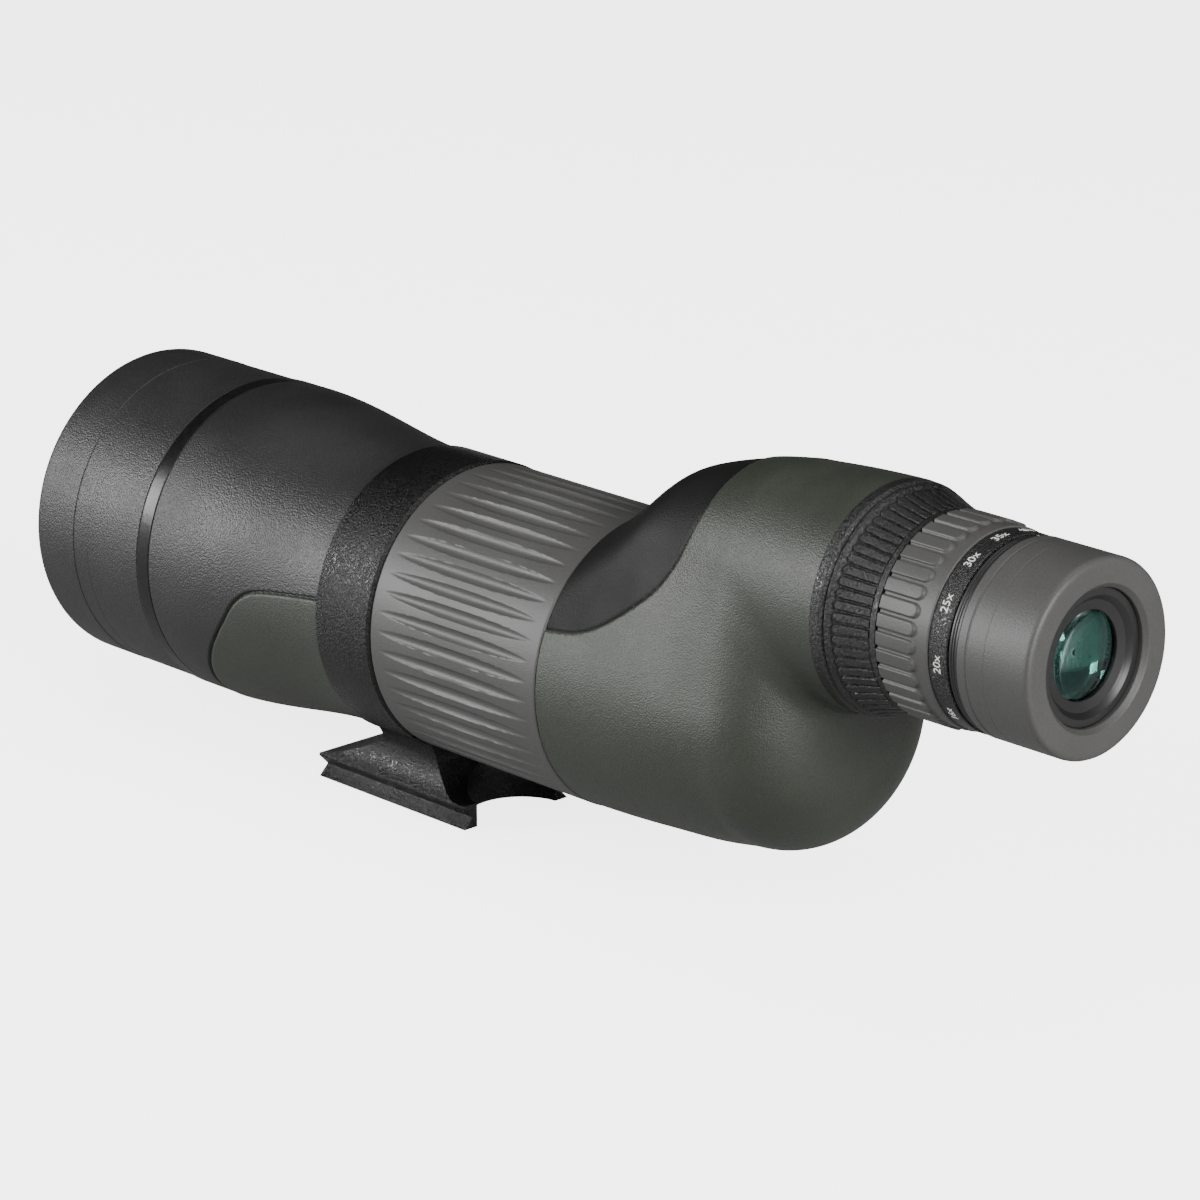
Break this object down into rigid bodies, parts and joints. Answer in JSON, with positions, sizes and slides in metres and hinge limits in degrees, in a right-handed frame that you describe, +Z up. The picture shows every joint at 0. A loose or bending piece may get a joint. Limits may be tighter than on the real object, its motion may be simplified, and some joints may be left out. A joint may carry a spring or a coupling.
{
  "type": "spotting scope",
  "caption": "Straight spotting scope with a sliding sunshade, rotating tripod collar, body focus ring, offset prism housing and zoom eyepiece with a twist-up eyecup.",
  "frame": {"origin": "centre of the tripod thread in the bottom face of the foot", "axes": "+Y along the optical axis towards the objective, +Z up from the foot to the barrel, +X to the user's right"},
  "size_m": [0.1023, 0.3576, 0.1247],
  "materials": {
    "black_casting": "satin black powder coat with a coarse cast grain",
    "black_anodised": "matt black anodised",
    "steel": "plain stainless",
    "brass": "turned brass",
    "nylon": "black nylon",
    "charcoal_armour": "charcoal rubber with a fine leather-like grain",
    "green_armour": "grey-green rubber with a fine grain",
    "grey_rubber": "smooth mid-grey rubber",
    "gloss_black": "glossy black",
    "grained_black": "black with a coarse grain",
    "housing_shell": "moulded glass-filled polycarbonate",
    "seal_rubber": "black rubber seal",
    "lens_glass": "coated optical glass with a blue-green reflection",
    "prism_glass": "polished prism glass"
  },
  "bodies": {
    "mount": {"tripod_collar": "black_casting", "collar_liner": "nylon", "tripod_thread_insert": "steel"},
    "lock_slider": {"lock_shoe": "brass", "lock_screw": "steel"},
    "lock_knob": {"lock_knob": "grained_black"},
    "scope_body": {"barrel_tube": "black_anodised", "barrel_armour": "charcoal_armour", "barrel_inlay": "green_armour", "front_band": "gloss_black", "sunshade_friction_ring": "seal_rubber", "objective_cell": "black_anodised", "objective_rear_lens": "lens_glass", "objective_spacer": "black_anodised", "objective_front_lens": "lens_glass", "objective_oring": "seal_rubber", "objective_retainer": "black_anodised", "main_tube": "black_anodised", "light_baffles": "black_anodised", "housing_armour": "green_armour", "saddle_inlay": "charcoal_armour", "housing_front": "housing_shell", "housing_rear": "housing_shell", "housing_screws": "steel", "prism_lower": "prism_glass", "prism_upper": "prism_glass", "prism_clamps": "steel", "prism_clamp_screws": "steel", "prism_carrier": "black_anodised", "carrier_screws": "steel", "eyepiece_seat": "grained_black", "eyepiece_tube": "grained_black", "field_stop": "black_anodised", "field_lens": "lens_glass", "zoom_index_ring": "grained_black", "eye_lens_cell": "black_anodised", "eye_lens": "lens_glass", "eye_lens_spacer": "black_anodised", "eye_lens_inner": "lens_glass", "eye_lens_retainer": "black_anodised"},
    "sunshade": {"sunshade_tube": "black_anodised", "sunshade_armour": "charcoal_armour", "sunshade_bumper": "charcoal_armour"},
    "focus_ring": {"focus_ring_core": "black_anodised", "focus_ring_grip": "grey_rubber"},
    "focus_carriage": {"focus_lens_cell": "black_anodised", "focus_lens": "lens_glass", "focus_pins": "steel"},
    "eyepiece_lock": {"eyepiece_lock_ring": "grained_black"},
    "zoom_ring": {"zoom_ring_core": "black_anodised", "zoom_ring_grip": "grey_rubber", "zoom_scale_band": "gloss_black"},
    "zoom_front_group": {"zoom_front_cell": "black_anodised", "zoom_front_lens": "lens_glass"},
    "zoom_rear_group": {"zoom_rear_cell": "black_anodised", "zoom_rear_lens": "lens_glass"},
    "eyecup_guide": {"eyecup_guide_ring": "brass"},
    "eyecup": {"eyecup_core": "grained_black", "eyecup_rubber": "grey_rubber"}
  },
  "joints": [
    {"name": "collar_rotation", "type": "hinge", "parent": "mount", "child": "scope_body", "pos_m": [0, 0, 0.056], "axis": [0, 1, 0], "continuous": true},
    {"name": "lock_travel", "type": "slide", "parent": "mount", "child": "lock_slider", "axis": [1, 0, 0], "range_m": [0, 0.00075]},
    {"name": "lock_knob_turn", "type": "hinge", "parent": "lock_slider", "child": "lock_knob", "pos_m": [0, -0.00505, 0.056], "axis": [1, 0, 0], "range_deg": [0, 270]},
    {"name": "sunshade_slide", "type": "slide", "parent": "scope_body", "child": "sunshade", "axis": [0, 1, 0], "range_m": [0, 0.032]},
    {"name": "focus_turn", "type": "hinge", "parent": "scope_body", "child": "focus_ring", "pos_m": [0, 0, 0.056], "axis": [0, 1, 0], "range_deg": [-150, 150]},
    {"name": "focus_travel", "type": "slide", "parent": "scope_body", "child": "focus_carriage", "axis": [0, 1, 0], "range_m": [-0.008, 0.008]},
    {"name": "eyepiece_lock_turn", "type": "hinge", "parent": "scope_body", "child": "eyepiece_lock", "pos_m": [0, 0, 0.0944], "axis": [0, -1, 0], "range_deg": [0, 90]},
    {"name": "zoom_turn", "type": "hinge", "parent": "scope_body", "child": "zoom_ring", "pos_m": [0, 0, 0.0944], "axis": [0, -1, 0], "range_deg": [-143, 28]},
    {"name": "zoom_front_travel", "type": "slide", "parent": "scope_body", "child": "zoom_front_group", "axis": [0, 1, 0], "range_m": [-0.00055, 0.0028]},
    {"name": "zoom_rear_travel", "type": "slide", "parent": "scope_body", "child": "zoom_rear_group", "axis": [0, 1, 0], "range_m": [-0.0022, 0.00044]},
    {"name": "eyecup_turn", "type": "hinge", "parent": "scope_body", "child": "eyecup_guide", "pos_m": [0, 0, 0.0944], "axis": [0, -1, 0], "range_deg": [0, 150]},
    {"name": "eyecup_travel", "type": "slide", "parent": "eyecup_guide", "child": "eyecup", "axis": [0, -1, 0], "range_m": [0, 0.012]}
  ],
  "couplings": [
    {"joint": "lock_knob_turn", "follows": "lock_travel", "rad_per_m": 6283.2},
    {"joint": "focus_travel", "follows": "focus_turn", "m_per_rad": 0.0030558},
    {"joint": "zoom_front_travel", "follows": "zoom_turn", "m_per_rad": -0.0011219},
    {"joint": "zoom_rear_travel", "follows": "zoom_turn", "m_per_rad": 0.00088146},
    {"joint": "eyecup_travel", "follows": "eyecup_turn", "m_per_rad": 0.0045836}
  ]
}
